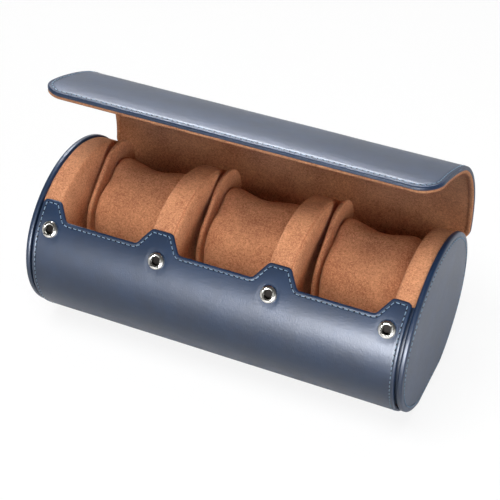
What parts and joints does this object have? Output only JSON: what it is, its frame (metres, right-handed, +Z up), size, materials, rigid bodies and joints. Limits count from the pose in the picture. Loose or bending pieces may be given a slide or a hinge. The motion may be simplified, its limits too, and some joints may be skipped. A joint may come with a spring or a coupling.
{
  "type": "watch travel case",
  "caption": "Oval travel case for wristwatches with a hinged snap-down lid, padded end panels and dividers, and lift-out pillows.",
  "frame": {"origin": "centre of the flat base, level with what the case stands on", "axes": "+X along the case to the right end panel, +Y to the back where the lid hinges, +Z up"},
  "size_m": [0.225, 0.1134, 0.1488],
  "materials": {
    "navy_leather": "fine grain, satin",
    "tan_suede": "short-nap suede",
    "case_board": "raw board",
    "nickel": "polished nickel"
  },
  "bodies": {
    "case": {"body_leather": "navy_leather", "tray_board": "case_board", "tray_lining": "tan_suede", "hinge_welt": "navy_leather", "left_end_leather": "navy_leather", "left_end_board": "case_board", "left_end_pad": "tan_suede", "right_end_leather": "navy_leather", "right_end_board": "case_board", "right_end_pad": "tan_suede", "left_divider": "tan_suede", "right_divider": "tan_suede", "left_bed": "tan_suede", "middle_bed": "tan_suede", "right_bed": "tan_suede", "snap_socket_1": "nickel", "snap_socket_2": "nickel", "snap_socket_3": "nickel", "snap_socket_4": "nickel", "snap_spring_1": "nickel", "snap_spring_2": "nickel", "snap_spring_3": "nickel", "snap_spring_4": "nickel", "lid_hinge_leather": "navy_leather"},
    "lid": {"lid_leather": "navy_leather", "lid_board": "case_board", "lid_lining": "tan_suede", "lid_crease_leather": "navy_leather"},
    "lid_front": {"flap_leather": "navy_leather", "flap_board": "case_board", "flap_lining": "tan_suede", "snap_stud_1": "nickel", "snap_stud_2": "nickel", "snap_stud_3": "nickel", "snap_stud_4": "nickel"},
    "pillow_left": {"pillow_left_cushion": "tan_suede", "pillow_left_cheek": "tan_suede"},
    "pillow_middle": {"pillow_middle_cushion": "tan_suede", "pillow_middle_cheek": "tan_suede"},
    "pillow_right": {"pillow_right_cushion": "tan_suede", "pillow_right_cheek": "tan_suede"}
  },
  "joints": [
    {"name": "lid_hinge", "type": "hinge", "parent": "case", "child": "lid", "pos_m": [0, 0.05378, 0.061], "axis": [-1, 0, 0], "range_deg": [-38.2, 45], "deforming": ["lid_hinge_leather"]},
    {"name": "lid_flex", "type": "hinge", "parent": "lid", "child": "lid_front", "pos_m": [0, 0.01775, 0.13399], "axis": [-1, 0, 0], "range_deg": [-18, 8], "deforming": ["lid_crease_leather"]},
    {"name": "pillow_left_lift", "type": "slide", "parent": "case", "child": "pillow_left", "axis": [0, 0, 1], "range_m": [0, 0.03]},
    {"name": "pillow_middle_lift", "type": "slide", "parent": "case", "child": "pillow_middle", "axis": [0, 0, 1], "range_m": [0, 0.03]},
    {"name": "pillow_right_lift", "type": "slide", "parent": "case", "child": "pillow_right", "axis": [0, 0, 1], "range_m": [0, 0.03]}
  ]
}
